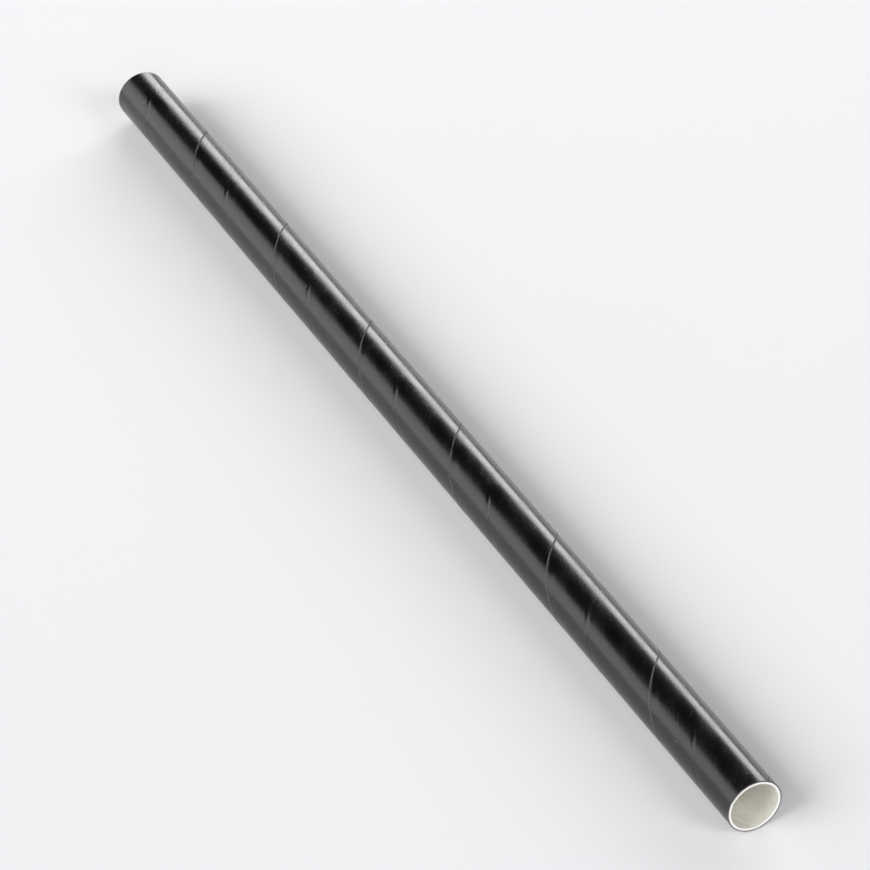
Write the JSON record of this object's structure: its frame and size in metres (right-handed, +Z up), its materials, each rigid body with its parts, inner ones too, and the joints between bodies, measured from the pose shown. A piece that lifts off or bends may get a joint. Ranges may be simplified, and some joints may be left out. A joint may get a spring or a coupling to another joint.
{
  "type": "paper drinking straw",
  "caption": "Straight spiral-wound paper drinking straw with a black outer ply, a white inner wall and square-cut open ends.",
  "frame": {"origin": "underside of the straw at the middle of its length, where it rests on a flat surface", "axes": "+Y along the straw from its near end to its far end, +Z up, +X to the right of the near end"},
  "size_m": [0.008, 0.197, 0.008],
  "materials": {
    "white_paper": "matte uncoated white paper with a fine fibre grain",
    "black_paper": "satin black sized paper with a helical butt seam"
  },
  "bodies": {
    "root": {"inner_ply": "white_paper", "outer_ply": "black_paper"}
  },
  "joints": []
}
